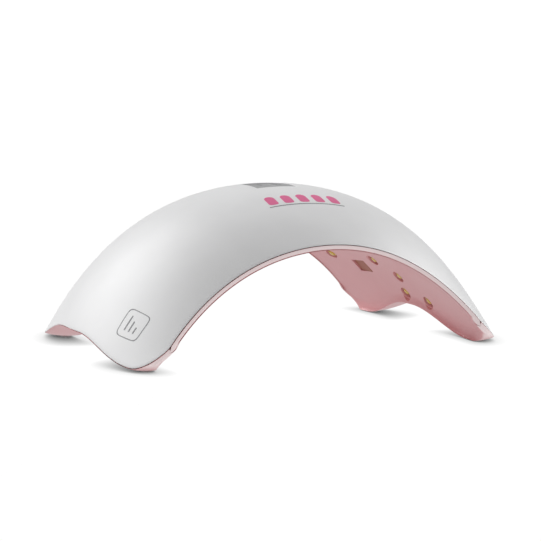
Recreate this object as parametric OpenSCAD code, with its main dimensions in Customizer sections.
// Arch-shaped LED lamp for curing nail gel: a bowed bridge on four feet.
// Units are millimetres. +X runs along the arch, +Y to the back, +Z up.
// The origin is at the bottom centre, between the feet.

/* [Arch] */
// Height of the crown above the table
crown_h = 69.1; // [62:0.1:76]
// Radius of the middle line at the crown, about the arch centre
arch_r = 53.2; // [50:0.1:56]
// How much that radius grows towards a 70 degree shoulder
arch_flare = 23; // [21:0.5:25]
// Half the front-to-back width at the crown
half_width = 57.2; // [52:0.1:60]
// How far the front and back edges drop below the middle line
edge_drop = 21.4; // [19:0.1:23]

/* [Shells] */
// Wall of the white outer shell
shell_wall = 2; // [1.6:0.1:2.4]
// Wall of the pink inner shell
liner_wall = 1.9; // [1.6:0.1:2]
// Depth of the inner face below the crown
body_depth = 17; // [16:0.5:18]
// Height of the pink lip that shows under the white edge
lip_h = 2.2; // [2:0.1:2.6]
// Seam between the two shells
seam = 0.35; // [0.3:0.05:0.5]

/* [Feet] */
// Lowest point of the white shell
shell_low = 1.7; // [1.5:0.1:3]
// Height of the white shell's edge at the middle of each end
shell_notch = 11.1; // [10.5:0.1:12]
// Height of the pink shell's edge at the middle of each end
foot_notch = 10.2; // [9:0.1:10.4]
// How far the pads stand out of the feet
pad_proud = 0.4; // [0.3:0.1:0.6]

/* [Keys] */
// Side of the square control panel on the crown
panel = 20; // [19:0.5:21]
// Travel of each key
key_travel = 0.4; // [0.3:0.05:0.5]

/* [Light] */
// Mouth radius of each LED cup
cup_r = 3; // [2.9:0.1:3.3]
// Side of each square LED package
led_side = 3.5; // [3:0.1:3.5]

/* [Power] */
// Radius of the round opening of the power inlet
jack_r = 3.1; // [2.9:0.05:3.2]
// Radius of the inlet's centre contact
contact_r = 1; // [0.9:0.05:1.1]

/* [Hidden] */

WHITE = [0.93, 0.93, 0.94];
PINK = [0.93, 0.74, 0.74];
GREY = [0.55, 0.55, 0.56];
GREEN = [0.10, 0.38, 0.22];
METAL = [0.78, 0.78, 0.80];
BLACK = [0.10, 0.10, 0.11];
YELLOW = [0.90, 0.74, 0.20];
BROWN = [0.45, 0.30, 0.25];
RED = [0.65, 0.12, 0.12];
COPPER = [0.72, 0.45, 0.30];

centre_z = crown_h - arch_r;
flare_angle = 70;
drop_power = 2.1;
widen = [-2.1, 2.4];
deepen = [2.6, -3.1];
shell_side = 2.6;
liner_thin = 0.7;
leg_half = 59.6;
shell_rise = [8, 52];
foot_rise = [3, 44];
corner_r = 12.6;
corner_reach = 12;
foot_corner_r = 11.5;
foot_corner_reach = 11;
foot_inner = 4.5;
foot_round = [1, -1.5];
back_round = [4, -4.5];
back_lift = [-0.4, 0, 0.45];
foot_corner_share = 1;
foot_corner_full = 4;
lip_inset = 1.2;
rows = 36;
cols = 20;
nose_rows = 5;
clear = 0.3;
eps = 0.01;

// ---- the arch surface: a is the angle from the crown, v runs from -1 at the front to 1 ----

function spread(a) = pow(a / flare_angle, 2);
function arch_rad(a) = arch_r + arch_flare * spread(a);
function rad_slope(a) = arch_flare * 2 * a / pow(flare_angle, 2) * 180 / PI;
function middle(a) = [arch_rad(a) * sin(a), 0, centre_z + arch_rad(a) * cos(a)];
function run(a) = [rad_slope(a) * sin(a) + arch_rad(a) * cos(a), 0,
    rad_slope(a) * cos(a) - arch_rad(a) * sin(a)];
function along(a) = run(a) / norm(run(a));
function out_of(a) = [-along(a)[2], 0, along(a)[0]];
function tilt(a) = atan2(out_of(a)[0], out_of(a)[2]);
function half_w(a) = half_width + widen[0] * spread(a) + widen[1] * pow(spread(a), 2);
function drop(a) = edge_drop + deepen[0] * spread(a) + deepen[1] * pow(spread(a), 2);
function at_depth(a, y, depth) = middle(a) + [0, y, 0] - depth * out_of(a);

// Depth below the middle line of each surface, at the width fraction v
function skin_depth(a, v) = drop(a) * pow(abs(v), drop_power);
function ceiling_depth(a, v) = (drop(a) - shell_wall) * pow(abs(v), drop_power) + shell_wall;
function face_depth(a, v) = body_depth + (drop(a) + lip_h - body_depth) * v * v;
function back_depth(a, v) = face_depth(a, v) - liner_wall + liner_thin * v * v;

function skin(a, v) = at_depth(a, half_w(a) * v, skin_depth(a, v));
function ceiling(a, v) = at_depth(a, (half_w(a) - shell_side) * v, ceiling_depth(a, v));

// Height of a surface over the point x, y
function depth_of(kind, a, v) = kind == "skin" ? skin_depth(a, v)
    : kind == "ceiling" ? ceiling_depth(a, v)
    : kind == "face" ? face_depth(a, v) : back_depth(a, v);
function surface_at(a, y, kind) = at_depth(a, y, depth_of(kind, a, y / half_w(a)));
function angle_over(x, y, kind, lo = 0, hi = 100, n = 24) = n == 0 ? (lo + hi) / 2 :
    let (mid = (lo + hi) / 2)
    surface_at(mid, y, kind)[0] < x ? angle_over(x, y, kind, mid, hi, n - 1)
        : angle_over(x, y, kind, lo, mid, n - 1);
function height_at(x, y, kind) = surface_at(angle_over(abs(x), y, kind), y, kind)[2];

// Edge heights at each end, as a function of the distance y from the middle
function ease(y, range) = 0.5
    + 0.5 * cos(180 * max(0, min(1, (abs(y) - range[0]) / (range[1] - range[0]))));
function rounding(y, r, reach) = let (d = min(r, max(0, abs(y) - (leg_half - reach))))
    r - sqrt(r * r - d * d);
function shell_edge_z(y) = shell_low + (shell_notch - shell_low) * ease(y, shell_rise)
    + rounding(y, corner_r, corner_reach);
function foot_z(y) = pad_proud + (foot_notch - pad_proud) * ease(y, foot_rise)
    + rounding(y, foot_corner_r, foot_corner_reach);

// Angle at which the skin comes down to the height z
function skin_angle(v, z, lo = 60, hi = 110, n = 24) = n == 0 ? (lo + hi) / 2 :
    let (mid = (lo + hi) / 2)
    skin(mid, v)[2] > z ? skin_angle(v, z, mid, hi, n - 1) : skin_angle(v, z, lo, mid, n - 1);
function shell_angle(v) = skin_angle(v, shell_edge_z(leg_half * v));
function lip_angle(v) = skin_angle(v, shell_edge_z(leg_half * v) - seam);

// Width fraction of column j: columns are closer together towards the edges
function col_v(j) = sin(90 * (2 * j / cols - 1));

// ---- closed solid between two sheets of points, each a list of equal rows ----

function flat(list) = [for (row = list) for (p = row) p];
module between_sheets(front, back) {
    nr = len(front);
    nc = len(front[0]);
    n = nr * nc;
    quads = concat(
        [for (i = [0:nr - 2]) for (j = [0:nc - 2])
            [i * nc + j, i * nc + j + 1, (i + 1) * nc + j + 1, (i + 1) * nc + j]],
        [for (i = [0:nr - 2]) for (j = [0:nc - 2])
            [n + i * nc + j, n + (i + 1) * nc + j, n + (i + 1) * nc + j + 1, n + i * nc + j + 1]],
        [for (i = [0:nr - 2]) each [
            [i * nc, (i + 1) * nc, n + (i + 1) * nc, n + i * nc],
            [i * nc + nc - 1, n + i * nc + nc - 1, n + (i + 1) * nc + nc - 1,
                (i + 1) * nc + nc - 1]]],
        [for (j = [0:nc - 2]) each [
            [j, n + j, n + j + 1, j + 1],
            [(nr - 1) * nc + j, (nr - 1) * nc + j + 1, n + (nr - 1) * nc + j + 1,
                n + (nr - 1) * nc + j]]]);
    faces = [for (q = quads) each [[q[0], q[1], q[2]], [q[0], q[2], q[3]]]];
    polyhedron(points = concat(flat(front), flat(back)), faces = faces);
}

// ---- white outer shell ----

module shell_body() {
    ends = [for (j = [0:cols]) shell_angle(col_v(j))];
    front = [for (i = [-rows / 2:rows / 2]) [for (j = [0:cols])
        skin(2 * i / rows * ends[j], col_v(j))]];
    back = [for (i = [-rows / 2:rows / 2]) [for (j = [0:cols])
        ceiling(2 * i / rows * ends[j], col_v(j))]];
    between_sheets(front, back);
}

boss_at = [38, 24];
boss_r = 3;
boss_bottom = height_at(boss_at[0] - boss_r, boss_at[1] - boss_r, "back") + 0.6;
boss_top = height_at(boss_at[0], boss_at[1], "ceiling") + 0.3;
screw_r = 1.1;
screw_hole_r = 1.15;
pocket_half = 6.6;
pocket_back = 33;
pocket_wall = 1;
pocket_floor = 53;

module at_corners(place) {
    for (x = [-1, 1]) for (y = [-1, 1]) translate([x * place[0], y * place[1], 0]) children();
}

module outer_shell() {
    color(WHITE) difference() {
        union() {
            shell_body();
            at_corners(boss_at) translate([0, 0, boss_bottom])
                cylinder(r = boss_r, h = boss_top - boss_bottom, $fn = 32);
        }
        at_corners(boss_at) translate([0, 0, boss_bottom - 1])
            cylinder(r = screw_hole_r, h = 6.5, $fn = 24);
        translate([-panel / 2, -panel / 2, crown_h - 6]) cube([panel, panel, 10]);
        translate([-pocket_half - pocket_wall - clear, pocket_back - pocket_wall - clear,
            pocket_floor - pocket_wall - clear])
            cube([2 * (pocket_half + pocket_wall + clear), 40, 20]);
    }
}

// ---- pink inner shell ----

function bez(p, t) = pow(1 - t, 3) * p[0] + 3 * pow(1 - t, 2) * t * p[1]
    + 3 * (1 - t) * t * t * p[2] + pow(t, 3) * p[3];

// Angle at which a sheet that lies deeper than the skin comes down to the height z
function sheet_z(a, v, s) = (middle(a) - (s ? back_depth(a, v) : face_depth(a, v)) * out_of(a))[2];
function sheet_angle(v, z, s, lo = 50, hi = 110, n = 24) = n == 0 ? (lo + hi) / 2 :
    let (mid = (lo + hi) / 2)
    sheet_z(mid, v, s) > z ? sheet_angle(v, z, s, mid, hi, n - 1)
        : sheet_angle(v, z, s, lo, mid, n - 1);

// Rounded end of the leg, from the inner face at p, going down along dp, to the outer end q
function nose(p, dp, q, low, full, round) =
    let (wide = norm(p - q), bottom = q[2] - (q[2] - low) * min(1, wide / full),
        turn = round[0] + round[1] * (1 - ease(p[1], foot_rise)),
        corner = min(1, rounding(p[1], foot_corner_r, foot_corner_reach) / foot_corner_full),
        reach = turn * (1 - corner) + foot_corner_share * (q[0] - p[0]) * corner,
        l = [p[0] + reach, (p[1] + q[1]) / 2, bottom],
        kp = max(0.01, (p[2] - bottom) * 0.5),
        kq = max(0.01, (q[2] - bottom) * 0.6))
    concat([for (k = [0:nose_rows])
            bez([p, p + dp * kp, l - [(l[0] - p[0]) * 0.6, 0, 0], l], k / nose_rows)],
        [for (k = [1:nose_rows])
            bez([l, l + [(q[0] - l[0]) * 0.5, 0, 0], q + [-0.8, 0, -0.8] * kq, q], k / nose_rows)]);

function half_profile(a_end, depth_of, y_of, tip) =
    concat([for (i = [0:rows / 2 - 1]) let (a = 2 * i / rows * a_end)
        at_depth(a, y_of(a), depth_of(a))], tip);
function mirrored(half) = concat(
    [for (i = [len(half) - 1:-1:1]) [-half[i][0], half[i][1], half[i][2]]], half);

// A column of the visible side: v is its width fraction, lift raises it to the seam at the rim
function face_column(v, side, lift) =
    let (low = foot_z(leg_half * v),
        depth_of = function(a) face_depth(a, v) - lift * (lip_h - seam),
        y_of = function(a) v * half_w(a) - side,
        a_out = lip_angle(v),
        q = at_depth(a_out, y_of(a_out), skin_depth(a_out, v) + 0.15 * (1 - lift)),
        z_in = q[2] + (low + foot_inner - q[2]) * (1 - lift),
        a_in = lift == 1 ? a_out - 1 : sheet_angle(v, z_in, false),
        p = at_depth(a_in, y_of(a_in), depth_of(a_in)))
    mirrored(half_profile(a_in, depth_of, y_of, nose(p, along(a_in), q, low, 2, foot_round)));

function back_column(v, b) =
    let (low = foot_z(leg_half * b) + liner_wall,
        depth_of = function(a) back_depth(a, b * (half_w(a) - shell_side) / half_w(a)),
        y_of = function(a) b * (half_w(a) - shell_side),
        a_out = lip_angle(b),
        q = ceiling(a_out, b) + back_lift * ease(leg_half * b, foot_rise),
        a_in = sheet_angle(b, low + foot_inner - 1, true),
        p = at_depth(a_in, y_of(a_in), depth_of(a_in)))
    mirrored(half_profile(a_in, depth_of, y_of, nose(p, along(a_in), q, low, 4, back_round)));

function turned(cols_list) = [for (i = [0:len(cols_list[0]) - 1]) [for (c = cols_list) c[i]]];

module liner_body() {
    front = concat([face_column(-1, -0.1, 1), face_column(-1, 0, 0.5)],
        [for (j = [0:cols]) let (v = col_v(j))
            face_column(v, (j == 0 ? -1 : j == cols ? 1 : 0) * lip_inset, 0)],
        [face_column(1, 0, 0.5), face_column(1, 0.1, 1)]);
    back = concat([back_column(-1, -1), back_column(-1, -0.995)],
        [for (j = [0:cols]) back_column(0, 0.985 * col_v(j))],
        [back_column(1, 0.995), back_column(1, 1)]);
    between_sheets(turned(back), turned(front));
}

// ---- light boards, each flat behind the inner shell ----

board_t = 1.2;
board_gap = 0.4;
dome_t = 0.6;
led_sunk = 0.3;
centre_leds = [[0, -28], [0, -8], [0, 12]];
shoulder_leds = [[0, -28], [0, 0], [0, 28]];
leg_leds = [[-9.8, 9.1], [-0.5, -3], [9.8, 0.5], [12, -17.5]];
// Each board: its angle, its reach along the arch, its reach across, its LEDs,
// how far its middle lies from the arch's middle, and how far it leans that way
centre_strip = [0, [-7, 7], [-33, 17], centre_leds, 0, 0];
shoulder_strip = [33, [-7, 7], [-34, 34], shoulder_leds, 0, 0];
leg_strip = [77, [-16.5, 13.8], [-31, 31], leg_leds, 0, 0];
corner_strip = [66.6, [-4.5, 4.5], [-4.5, 4.5], [[0, 0]], 41, 9];

function board_depth(strip) = let (a = strip[0]) back_depth(a, strip[4] / half_w(a)) - board_gap;
function board_origin(strip) = at_depth(strip[0], strip[4], board_depth(strip));

// Distance from a board down to the back of the inner shell, under the point p of the board
function fall(strip, p) = strip[4] != 0 ? board_gap :
    let (a = board_angle(strip, p),
        q = surface_at(a, p[1], "back") - board_origin(strip))
    -q * out_of(strip[0]);
function board_angle(strip, p, lo = -60, hi = 110, n = 24) = n == 0 ? (lo + hi) / 2 :
    let (mid = (lo + hi) / 2,
        q = surface_at(mid, p[1], "back") - board_origin(strip))
    q * along(strip[0]) < p[0] ? board_angle(strip, p, mid, hi, n - 1)
        : board_angle(strip, p, lo, mid, n - 1);

// Height of an LED package on its spacer, which brings its dome up to the face
function base_h(strip, p) = fall(strip, p) + liner_wall - dome_t - led_sunk;

// Moves to a board's own frame, where z = 0 is its lit side and +z points out of the arch
module at_board(strip, turn = false) {
    rotate([0, 0, turn ? 180 : 0]) translate(board_origin(strip))
        rotate([0, tilt(strip[0]), 0]) rotate([-strip[5], 0, 0]) children();
}

module led_board(strip, turn = false) {
    color(METAL) at_board(strip, turn) translate([strip[1][0], strip[2][0], 0])
        cube([strip[1][1] - strip[1][0], strip[2][1] - strip[2][0], board_t]);
}

module led_bases(strip, turn = false) {
    color(WHITE) at_board(strip, turn) for (p = strip[3])
        translate([p[0] - led_side / 2, p[1] - led_side / 2, -base_h(strip, p)])
            cube([led_side, led_side, base_h(strip, p)]);
}

module led_domes(strip, turn = false) {
    color(YELLOW) at_board(strip, turn) for (p = strip[3])
        translate([p[0], p[1], -base_h(strip, p) - dome_t])
            cylinder(r1 = 1.3, r2 = led_side / 2 - 0.2, h = dome_t, $fn = 24);
}

// Cups that join the face of the inner shell to a light board
cup_wall = 1;
cup_small = 2.6;
cup_reach = 1.5;

module cup_tubes(strip, turn = false) {
    at_board(strip, turn) for (p = strip[3]) let (deep = fall(strip, p) + liner_wall / 2)
        translate([p[0], p[1], -deep])
            cylinder(r = cup_small + cup_wall, h = deep, $fn = 32);
}

module cup_mouths(strip, turn = false) {
    at_board(strip, turn) for (p = strip[3])
        let (deep = fall(strip, p) + liner_wall, slope = (cup_r - cup_small) / deep)
        translate([p[0], p[1], -deep - cup_reach])
            cylinder(r1 = cup_r + slope * cup_reach, r2 = cup_small - slope * eps,
                h = deep + cup_reach + eps, $fn = 32);
}

// ---- hand sensor beside the LEDs of the right leg ----

sensor_at = [-4.5, 24.3];
sensor_half = [3.9, 5.1];
window_sunk = 0.45;
window_t = 0.8;
window_gap = 0.1;
eye_r = 1.25;
eye_gap = 2.6;

module sensor_hole() {
    at_board(leg_strip) translate([sensor_at[0] - sensor_half[0], sensor_at[1] - sensor_half[1], -8])
        cube([2 * sensor_half[0], 2 * sensor_half[1], 7.8]);
}

module sensor_window() {
    size = [2 * (sensor_half[0] - window_gap), 2 * (sensor_half[1] - window_gap), window_t];
    color(BROWN) at_board(leg_strip) translate([sensor_at[0] - size[0] / 2,
        sensor_at[1] - size[1] / 2,
        -fall(leg_strip, sensor_at) - liner_wall + window_sunk]) cube(size);
}

module sensor_eyes() {
    color(BLACK) at_board(leg_strip) for (k = [-1, 1])
        translate([sensor_at[0], sensor_at[1] + k * eye_gap, -0.9])
            cylinder(r = eye_r, h = 0.9, $fn = 24);
}

// ---- control board under the crown ----

pcb_half = [23, 18];
pcb_bottom = crown_h - 9.1;
pcb_t = 1.6;
pcb_top = pcb_bottom + pcb_t;
post_at = [17.5, 15];
post_r = 2.5;
board_screw_r = 0.9;

module control_board() {
    color(GREEN) difference() {
        translate([-pcb_half[0], -pcb_half[1], pcb_bottom])
            cube([2 * pcb_half[0], 2 * pcb_half[1], pcb_t]);
        at_corners(post_at) translate([0, 0, pcb_bottom - 1])
            cylinder(r = board_screw_r + 0.2, h = pcb_t + 2, $fn = 24);
    }
}

module board_screws() {
    color(METAL) at_corners(post_at) {
        translate([0, 0, pcb_top]) cylinder(r = 1.9, h = 1.3, $fn = 32);
        translate([0, 0, pcb_top - 6]) cylinder(r = board_screw_r - 0.05, h = 6 + eps, $fn = 24);
    }
}

module on_board(x, y, size) {
    translate([x - size[0] / 2, y - size[1] / 2, pcb_top]) cube(size);
}

module timer_chip() {
    color(BLACK) on_board(0, 12, [8, 5, 1.6]);
}

module driver_transistors() {
    color(BLACK) for (x = [-11.5, 11.5]) on_board(x, 9.5, [6.5, 6, 2.3]);
}

module power_inductor() {
    color(GREY) translate([-13, 5, pcb_bottom - 3.4]) difference() {
        translate([-3.5, -3.5, 0]) cube([7, 7, 3.4]);
        translate([0, 0, -1]) cylinder(r = 2.4, h = 1.8, $fn = 32);
    }
}

module filter_capacitors() {
    color(BLACK) for (y = [-12, -7.4]) translate([4.5, y, pcb_bottom - 2.1]) rotate([0, 90, 0])
        cylinder(r = 2, h = 9, $fn = 32);
}

socket_size = [5, 7, 2.6];
socket_x = pcb_half[0] - socket_size[0] / 2 - 0.2;
socket_y = -6;

module lead_sockets() {
    color(WHITE) for (x = [-socket_x, socket_x]) on_board(x, socket_y, socket_size);
}

// ---- keys and their switches ----

key_gap = 0.2;
frame_rim = 1.2;
frame_sink = 0.3;
key_sink = 0.5;
key_bottom = crown_h - 2.5;
key_half = panel / 2 - frame_rim - 2 * key_gap;
flange_grow = 1.5;
flange_top = crown_h - 4;
frame_bottom = crown_h - 5;
switch_half = 3;
switch_h = 3.4;
switch_x = key_half / 2;
stem_r = 1.7;
stem_gap = 0.06;
stem_foot = crown_h - 5.5;

function crown_z(x, y) = height_at(x, y, "skin");

// Block under the crown whose top follows it, sunk by the depth sink
module crown_block(x0, x1, y0, y1, sink, bottom, n = 4) {
    top = [for (i = [0:n]) let (x = x0 + (x1 - x0) * i / n)
        [for (j = [0:n]) let (y = y0 + (y1 - y0) * j / n) [x, y, crown_z(x, y) - sink]]];
    low = [for (row = top) [for (p = row) [p[0], p[1], bottom]]];
    between_sheets(top, low);
}

module panel_frame() {
    out = panel / 2 - key_gap;
    well = out - frame_rim;
    flange = panel / 2 + flange_grow;
    color(GREY) difference() {
        union() {
            crown_block(-out, out, -out, out, frame_sink, frame_bottom);
            translate([-flange, -flange, frame_bottom])
                cube([2 * flange, 2 * flange, flange_top - frame_bottom]);
        }
        translate([-well, -well, frame_bottom - 1]) cube([2 * well, 2 * well, 10]);
    }
}

module key_30() {
    color(GREY) crown_block(-key_half, -key_gap, -key_half, key_half, key_sink, key_bottom);
}

module key_60() {
    color(GREY) crown_block(key_gap, key_half, -key_half, key_half, key_sink, key_bottom);
}

module switch_body(x) {
    color(BLACK) difference() {
        on_board(x, 0, [2 * switch_half, 2 * switch_half, switch_h]);
        translate([x, 0, stem_foot - key_travel - 0.2])
            cylinder(r = stem_r + stem_gap, h = 10, $fn = 32);
    }
}

module switch_stem(x) {
    color(WHITE) translate([x, 0, stem_foot])
        cylinder(r = stem_r, h = key_bottom - stem_foot, $fn = 32);
}

module switch_30() { switch_body(-switch_x); }
module switch_60() { switch_body(switch_x); }
module switch_30_stem() { switch_stem(-switch_x); }
module switch_60_stem() { switch_stem(switch_x); }

// ---- power inlet in a pocket of the back slope ----

jack_z = 57;
jack_half = 4.5;
jack_nose_r = 3.8;
jack_bore_end = 22;
jack_rear = 19.2;
jack_nose_start = 30;

// Cylinder along +Y from y0 to y1 at the inlet's height
module along_y(r, y0, y1, x = 0) {
    translate([x, y0, jack_z]) rotate([-90, 0, 0]) cylinder(r = r, h = y1 - y0, $fn = 48);
}

module dc_jack() {
    color(BLACK) difference() {
        union() {
            translate([-jack_half, jack_rear, jack_z - 3.4])
                cube([2 * jack_half, jack_nose_start - jack_rear, 7.2]);
            along_y(jack_nose_r, jack_nose_start - 2, pocket_back);
        }
        along_y(jack_r, jack_bore_end, pocket_back + 1);
    }
}

module jack_contact() {
    color(METAL) along_y(contact_r, jack_bore_end, pocket_back - 1.5);
}

// Side view of the pocket: the back slope, sunk a little, down to the height low
module pocket_side(y0, low, sink) {
    slope = [for (k = [0:8]) let (y = y0 + (slope_end(low + sink) - y0) * k / 8)
        [y, height_at(0, y, "skin") - sink]];
    polygon(concat([[y0, low]], [for (k = [8:-1:0]) slope[k]]));
}
function slope_end(z, lo = 20, hi = 56, n = 24) = n == 0 ? (lo + hi) / 2 :
    let (mid = (lo + hi) / 2)
    height_at(0, mid, "skin") > z ? slope_end(z, mid, hi, n - 1) : slope_end(z, lo, mid, n - 1);

module sideways(half) {
    translate([-half, 0, 0]) rotate([90, 0, 90]) linear_extrude(2 * half) children();
}

module jack_housing() {
    color(WHITE) difference() {
        sideways(pocket_half + pocket_wall)
            pocket_side(pocket_back - pocket_wall, pocket_floor - pocket_wall, 0.55);
        translate([-pocket_half, pocket_back, pocket_floor]) cube([2 * pocket_half, 40, 20]);
        along_y(jack_nose_r + 0.1, pocket_back - 5, pocket_back + 1);
    }
}

// ---- inner wires ----

// Round wire through points that share one y
module wire(points, r) {
    last = len(points) - 1;
    sides = 8;
    rings = [for (i = [0:last])
        let (d = points[min(last, i + 1)] - points[max(0, i - 1)],
            up = [-d[2], 0, d[0]] / norm(d))
        [for (k = [0:sides]) points[i] + r * (cos(360 * k / sides) * [0, 1, 0]
            + sin(360 * k / sides) * up)]];
    ring_points = [for (ring = rings) for (k = [0:sides - 1]) ring[k]];
    faces = concat([[for (k = [0:sides - 1]) k]],
        [[for (k = [sides - 1:-1:0]) last * sides + k]],
        [for (i = [0:last - 1]) for (k = [0:sides - 1])
            let (k2 = (k + 1) % sides)
            each [[i * sides + k, (i + 1) * sides + k, (i + 1) * sides + k2],
                [i * sides + k, (i + 1) * sides + k2, i * sides + k2]]]);
    polyhedron(points = ring_points, faces = faces);
}

wire_r = 0.6;
wire_ys = [-7.2, -4.8];

module led_leads() {
    start = [pcb_half[0] - 0.1, 0, pcb_top + socket_size[2] / 2];
    goal = at_depth(64, 0, board_depth(leg_strip) - board_t - wire_r);
    route = concat([start, start + [0.5, 0, 0], start + [2.5, 0, -0.2]],
        [for (a = [34:5:59]) at_depth(a, 0, 8.5 + (a - 34) * 0.16)], [goal]);
    color(RED) for (y = wire_ys) wire([for (p = route) p + [0, y, 0]], wire_r);
}

module led_leads_right() { led_leads(); }
module led_leads_left() { mirror([1, 0, 0]) led_leads(); }

module jack_leads() {
    color(RED) for (x = [-2, 2]) {
        translate([x, jack_rear, 56.4]) rotate([90, 0, 0]) cylinder(r = wire_r, h = 5, $fn = 16);
        translate([x, jack_rear - 5, 56.4]) sphere(r = wire_r, $fn = 16);
        translate([x, jack_rear - 5, 56.4])
            cylinder(r = wire_r, h = pcb_bottom - 56.4, $fn = 16);
    }
}

// ---- screws, feet and the inner shell that carries them ----

seat_z = height_at(boss_at[0], boss_at[1], "back") - 0.3;
head_r = 2.2;
head_h = 1.3;

module shell_screws() {
    color(METAL) at_corners(boss_at) {
        translate([0, 0, seat_z - head_h]) cylinder(r = head_r, h = head_h, $fn = 32);
        translate([0, 0, seat_z - eps]) cylinder(r = screw_r, h = 6, $fn = 24);
    }
}

pad_at = [79.4, 46.5];
pad_r = 2.3;
pad_run = 3;
pad_top = 1.5;

module pad_shape(grow, h) {
    for (y = [-pad_run, pad_run]) translate([0, y, 0]) cylinder(r = pad_r + grow, h = h, $fn = 32);
    translate([-pad_r - grow, -pad_run, 0]) cube([2 * (pad_r + grow), 2 * pad_run, h]);
}

module foot_pads() {
    color(GREY) at_corners(pad_at) pad_shape(0, pad_top);
}

module inner_shell() {
    post_foot = height_at(post_at[0], post_at[1], "back") - 0.9;
    boss_pad_foot = height_at(boss_at[0] + 2, boss_at[1] + 2, "face") + 0.3;
    color(PINK) difference() {
        union() {
            liner_body();
            cup_tubes(centre_strip);
            for (turn = [false, true]) {
                cup_tubes(shoulder_strip, turn);
                cup_tubes(leg_strip, turn);
                cup_tubes(corner_strip, turn);
            }
            at_corners(post_at) translate([0, 0, post_foot])
                cylinder(r = post_r, h = pcb_bottom - post_foot, $fn = 32);
            at_corners(boss_at) translate([0, 0, boss_pad_foot])
                cylinder(r = boss_r, h = boss_bottom - boss_pad_foot - 0.1, $fn = 32);
        }
        cup_mouths(centre_strip);
        for (turn = [false, true]) {
            cup_mouths(shoulder_strip, turn);
            cup_mouths(leg_strip, turn);
            cup_mouths(corner_strip, turn);
        }
        sensor_hole();
        at_corners(post_at) translate([0, 0, pcb_bottom - 5.5])
            cylinder(r = board_screw_r, h = 10, $fn = 24);
        at_corners(boss_at) {
            translate([0, 0, 30]) cylinder(r = screw_r + 0.3, h = 30, $fn = 24);
            translate([0, 0, 30]) cylinder(r = head_r + 0.2, h = seat_z - 30, $fn = 32);
        }
        at_corners(pad_at) translate([0, 0, -1]) pad_shape(0.1, pad_top + 1);
    }
}

outer_shell();
inner_shell();
panel_frame();
key_30();
key_60();
switch_30();
switch_60();
switch_30_stem();
switch_60_stem();
control_board();
timer_chip();
driver_transistors();
power_inductor();
filter_capacitors();
lead_sockets();
dc_jack();
jack_contact();
jack_housing();
jack_leads();
led_leads_left();
led_leads_right();
led_board(centre_strip);  // led_board_centre
led_board(shoulder_strip, true);  // led_board_left_shoulder
led_board(shoulder_strip);  // led_board_right_shoulder
led_board(leg_strip, true);  // led_board_left_leg
led_board(leg_strip);  // led_board_right_leg
led_board(corner_strip, true);  // led_board_left_corner
led_board(corner_strip);  // led_board_right_corner
led_bases(centre_strip);  // led_bases_centre
led_bases(shoulder_strip, true);  // led_bases_left_shoulder
led_bases(shoulder_strip);  // led_bases_right_shoulder
led_bases(leg_strip, true);  // led_bases_left_leg
led_bases(leg_strip);  // led_bases_right_leg
led_bases(corner_strip, true);  // led_bases_left_corner
led_bases(corner_strip);  // led_bases_right_corner
led_domes(centre_strip);  // led_domes_centre
led_domes(shoulder_strip, true);  // led_domes_left_shoulder
led_domes(shoulder_strip);  // led_domes_right_shoulder
led_domes(leg_strip, true);  // led_domes_left_leg
led_domes(leg_strip);  // led_domes_right_leg
led_domes(corner_strip, true);  // led_domes_left_corner
led_domes(corner_strip);  // led_domes_right_corner
sensor_window();
sensor_eyes();
board_screws();
shell_screws();
foot_pads();
